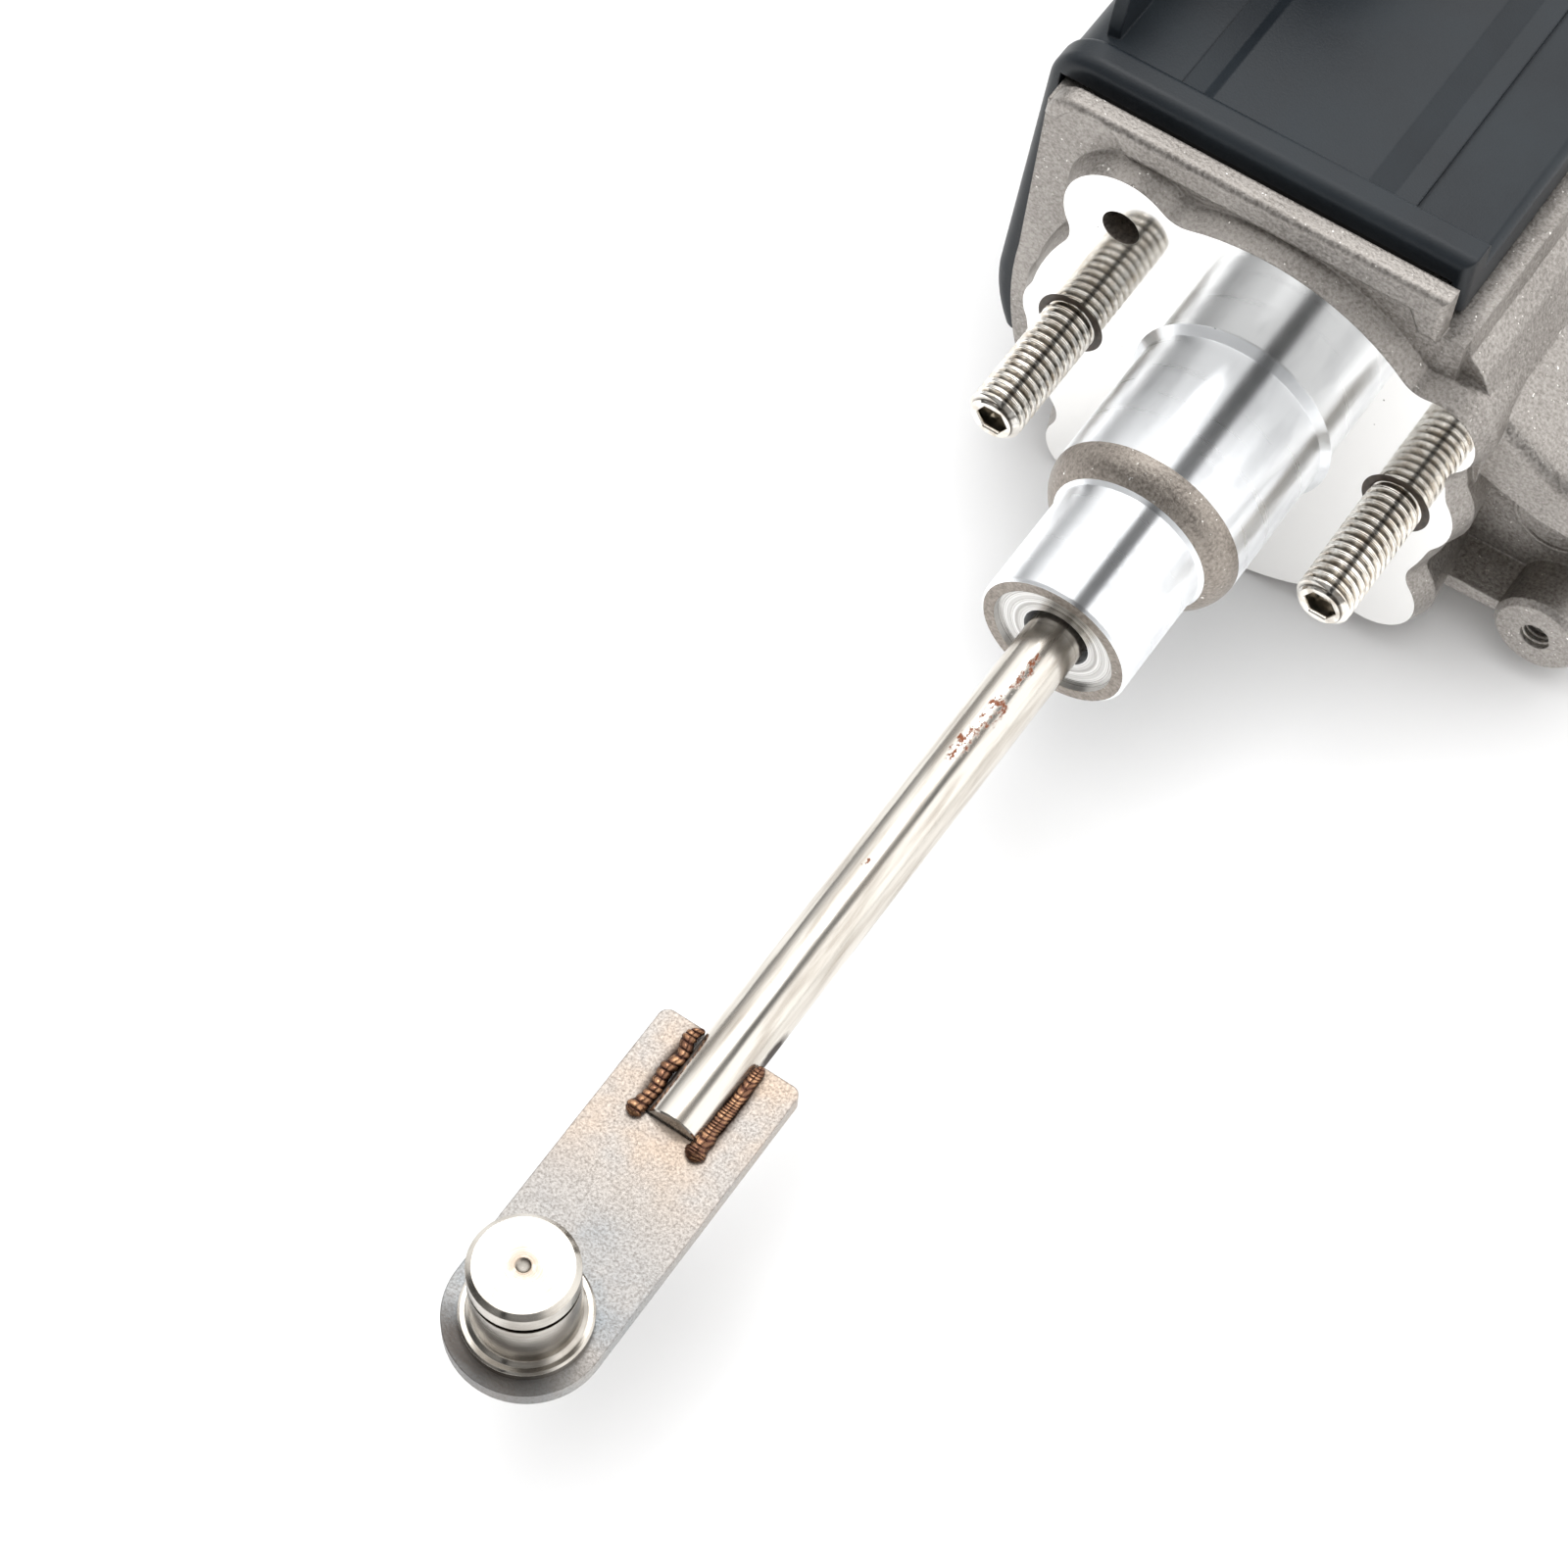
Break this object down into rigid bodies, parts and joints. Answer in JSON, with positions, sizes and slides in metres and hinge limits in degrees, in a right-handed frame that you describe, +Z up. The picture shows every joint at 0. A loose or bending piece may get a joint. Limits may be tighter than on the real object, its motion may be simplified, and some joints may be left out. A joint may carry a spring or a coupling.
{
  "type": "wastegate actuator",
  "caption": "Electric wastegate actuator: cast case with black cover, turned nose, studs, sliding rod with welded link plate and pivot pin.",
  "frame": {"origin": "on the rod axis in the machined flange face, midway between the two mounting studs", "axes": "-Y along the rod towards its pivot pin, +X to the right seen along +Y, +Z up, the way the pivot pin points"},
  "size_m": [0.0724, 0.2091, 0.067],
  "materials": {
    "cast_aluminium": "as cast, with turned and milled faces",
    "black_plastic": "matt moulded",
    "seal_rubber": "matt",
    "nickel_steel": "nickel plated",
    "screw_steel": "zinc plated",
    "rod_steel": "ground stainless",
    "plate_steel": "stainless with heat tint",
    "pin_steel": "turned stainless",
    "weld_bead": "bronze heat tint",
    "bearing_bronze": "sintered",
    "gear_plastic": "moulded acetal",
    "motor_steel": "drawn",
    "magnet_black": "sintered ferrite",
    "laminated_steel": "laminated",
    "copper": "bare copper",
    "tin_brass": "tinned",
    "board_green": "lacquered"
  },
  "bodies": {
    "case": {"housing": "cast_aluminium", "cover": "black_plastic", "cover_gasket": "seal_rubber", "cover_screw_1": "screw_steel", "cover_screw_2": "screw_steel", "cover_screw_3": "screw_steel", "terminal_1": "tin_brass", "terminal_2": "tin_brass", "terminal_3": "tin_brass", "terminal_4": "tin_brass", "terminal_5": "tin_brass", "stud_left": "nickel_steel", "stud_right": "nickel_steel", "rod_seal": "seal_rubber", "rod_bush_front": "bearing_bronze", "rod_bush_rear": "bearing_bronze", "tunnel_plug": "screw_steel", "output_axle": "screw_steel", "idler_axle": "screw_steel", "motor_can": "motor_steel", "motor_end_cap": "black_plastic", "motor_bearing_low": "bearing_bronze", "motor_bearing_top": "bearing_bronze", "motor_magnet_left": "magnet_black", "motor_magnet_right": "magnet_black", "sensor_board": "board_green"},
    "rod": {"push_rod": "rod_steel", "link_plate": "plate_steel", "pivot_pin": "pin_steel", "weld_left": "weld_bead", "weld_right": "weld_bead", "roller_pin": "screw_steel"},
    "roller": {"cam_roller": "screw_steel"},
    "output": {"output_gear": "gear_plastic", "sensor_magnet": "magnet_black"},
    "idler": {"idler_gear": "gear_plastic"},
    "motor": {"motor_shaft": "screw_steel", "armature": "laminated_steel", "commutator": "copper", "motor_pinion": "bearing_bronze"}
  },
  "joints": [
    {"name": "motor_turn", "type": "hinge", "parent": "case", "child": "motor", "pos_m": [-0.0122, 0.06003, 0], "axis": [0, 0, 1], "range_deg": [-593.6, 395.74]},
    {"name": "rod_slide", "type": "slide", "parent": "case", "child": "rod", "axis": [0, 1, 0], "range_m": [-0.004, 0.006]},
    {"name": "output_turn", "type": "hinge", "parent": "case", "child": "output", "pos_m": [-0.0045, 0.0256, 0], "axis": [0, 0, 1], "range_deg": [-72.1, 48.1]},
    {"name": "idler_turn", "type": "hinge", "parent": "case", "child": "idler", "pos_m": [0.0002, 0.04811, 0], "axis": [0, 0, 1], "range_deg": [-136.2, 204.2]},
    {"name": "roller_turn", "type": "hinge", "parent": "rod", "child": "roller", "pos_m": [0, 0.0156, 0], "axis": [0, 0, 1], "continuous": true}
  ],
  "couplings": [
    {"joint": "motor_turn", "follows": "rod_slide", "rad_per_m": -1726.3},
    {"joint": "output_turn", "follows": "rod_slide", "rad_per_m": -209.44},
    {"joint": "idler_turn", "follows": "rod_slide", "rad_per_m": 593.41}
  ]
}
